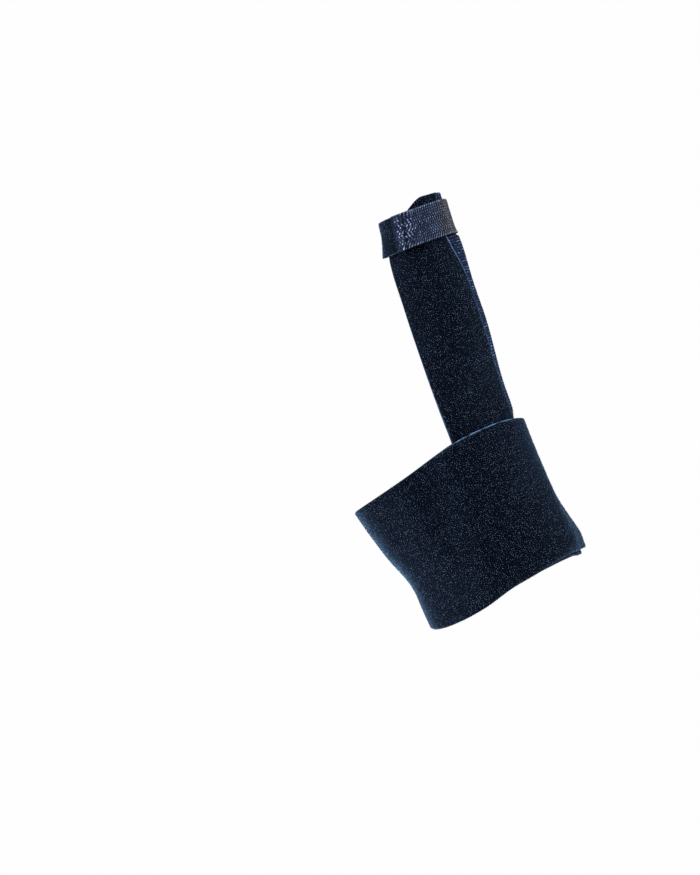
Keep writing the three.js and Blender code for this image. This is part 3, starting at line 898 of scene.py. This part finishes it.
# Tufts only where the cloth shows, and none on a cut line
def bandShown():
    shareA, shareB = sheetShares(bandSheet)
    winding = shareA * band["winding"]
    outerTurn = ramp(winding, *bandSheet["outerShows"])
    underRim = (shareB < 0.06) * ramp(winding, *bandSheet["innerShows"])
    fromTop = bandSheet["height"] * (1 - shareB)
    cutShows = rimLine(shareA * bandSheet["length"])
    clear = ramp(fromTop, 0.05 + 0.35 * cutShows, 0.3 + 0.7 * cutShows)
    return np.maximum(outerTurn, underRim) * clear


def coverShown():
    shareA, shareB = sheetShares(coverSheet)
    fromLeft, fromRight = shareA * coverSheet["length"], (1 - shareA) * coverSheet["length"]
    clear = ramp(fromLeft, *coverSheet["bareLeft"]) * ramp(fromRight, *coverSheet["bareRight"])
    return ramp(shareB, *coverSheet["shows"]) * clear


bandPile = growPile("wrist_band_pile", bandOuter, bandIndex, bandShown(), bandSheet["crowding"])
coverPile = growPile("stay_cover_pile", coverOuter, coverIndex, coverShown(), coverSheet["crowding"])
loopPile = growPile("thumb_loop_pile", loopOuter, loopIndex, np.ones(loopIndex.shape), loopSheet["crowding"])

# Seams across the webbing's left end and across the band's outer end, where it holds the tab
strapStitch = {"pitch": 2.1, "length": 1.6, "width": 0.95, "proud": 0.15, "low": 0.06, "high": 0.94}
tabStitch = {"pitch": 2.4, "length": 1.8, "width": 0.45, "proud": 0.1, "low": 0.2, "high": 0.8, "inset": 3.5}


def stitchRow(name, place, a, wall, stitch):
    count = 40
    up = np.linspace(stitch["low"], stitch["high"], count)
    points = place(np.full(count, a), up, np.full(count, wall + stitch["proud"]))
    mesh = bpy.data.meshes.new(name)
    mesh.from_pydata((points / 1000).tolist(), [(i, i + 1) for i in range(count - 1)], [])
    obj = bpy.data.objects.new(name, mesh)
    bpy.context.scene.collection.objects.link(obj)
    values = {"Pitch": stitch["pitch"] / 1000, "Length": stitch["length"] / 1000,
              "Width": stitch["width"] / 1000, "Material": thread}
    return grow(obj, stitches, values)


strapSeam = stitchRow(
    "thumb_webbing_stitches", webbingPlace, webbingSheet["stitchLine"] / webbingSheet["length"],
    webbing["thickness"], strapStitch)
tabSeam = stitchRow(
    "wrist_band_stitches", bandPlace, 1 - tabStitch["inset"] / bandSheet["length"], band["thickness"],
    tabStitch)

print("thumb spica splint: studio")

studio = {"aim": (0.02, 0, 0.05), "floorDepth": -0.3, "floorRadius": 0.45, "white": 0.99, "soft": 0.45}
lights = (
    # name, place and width in metres, power in watts
    ("key", (-0.6, -0.8, 1.0), 0.45, 31),
    ("fill", (0.9, -1.0, 0.2), 0.7, 5),
    ("left side", (-1.2, 0.1, 0.35), 0.8, 32),
    ("right side", (1.2, 0.1, 0.15), 0.8, 28),
)


def addLight(name, place, size, power):
    data = bpy.data.lights.new(name, "AREA")
    data.shape = "DISK"
    data.size = size
    data.energy = power
    obj = bpy.data.objects.new(name, data)
    obj.location = place
    obj.rotation_euler = (Vector(studio["aim"]) - Vector(place)).to_track_quat("-Z", "Y").to_euler()
    bpy.context.scene.collection.objects.link(obj)


for light in lights:
    addLight(*light)

world = bpy.data.worlds.new("white studio")
world.use_nodes = True
backdrop = world.node_tree.nodes["Background"]
backdrop.inputs[0].default_value = (1, 1, 1, 1)
seen = addNode(world.node_tree, "ShaderNodeLightPath").outputs["Is Camera Ray"]
strength = addNode(world.node_tree, "ShaderNodeMapRange", {
    0: seen, 3: studio["soft"], 4: studio["white"]})
world.node_tree.links.new(strength.outputs[0], backdrop.inputs[1])
bpy.context.scene.world = world

floorMaterial, floorNodes = newMaterial("matt white board")
finishMaterial(floorNodes, linear("#f4f4f4"), None, {"Roughness": 0.9, "Specular IOR Level": 0.1})
bpy.ops.mesh.primitive_circle_add(vertices=64, radius=studio["floorRadius"], fill_type="NGON",
                                  location=(0, 0, studio["floorDepth"]))
floor = bpy.context.object
floor.name = "floor"
floor.data.materials.append(floorMaterial)

# Looks straight at the front, with the splint turned in the picture: the turn's cosine and sine, and how
# many mm of it the picture's longer side takes in
cameraLook = {"place": (-0.0245, -1.2, 0.0536), "cosine": 0.8686, "sine": 0.4955, "sensor": 36,
              "seen": 336.5}
cameraData = bpy.data.cameras.new("camera")
cameraData.sensor_width = cameraLook["sensor"]
cameraData.lens = cameraLook["sensor"] * -1000 * cameraLook["place"][1] / cameraLook["seen"]
camera = bpy.data.objects.new("camera", cameraData)
camera.matrix_world = Matrix((
    (cameraLook["cosine"], cameraLook["sine"], 0, cameraLook["place"][0]),
    (0, 0, -1, cameraLook["place"][1]),
    (-cameraLook["sine"], cameraLook["cosine"], 0, cameraLook["place"][2]),
    (0, 0, 0, 1),
))
bpy.context.scene.collection.objects.link(camera)
bpy.context.scene.camera = camera
bpy.context.scene.view_settings.view_transform = "Standard"

print("thumb spica splint: declarations")
for obj, node in ((wristBand, "wrist_band"), (wristTab, "wrist_tab"), (stayBase, "stay_base"),
                  (stayCover, "stay_cover"), (thumbLoop, "thumb_loop"), (thumbWebbing, "thumb_webbing")):
    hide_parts(node)
for obj in (wristBand, wristTab, stayBase, stayCover, thumbLoop, thumbWebbing, bandPile, coverPile, loopPile,
            strapSeam, tabSeam):
    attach(obj, "root")
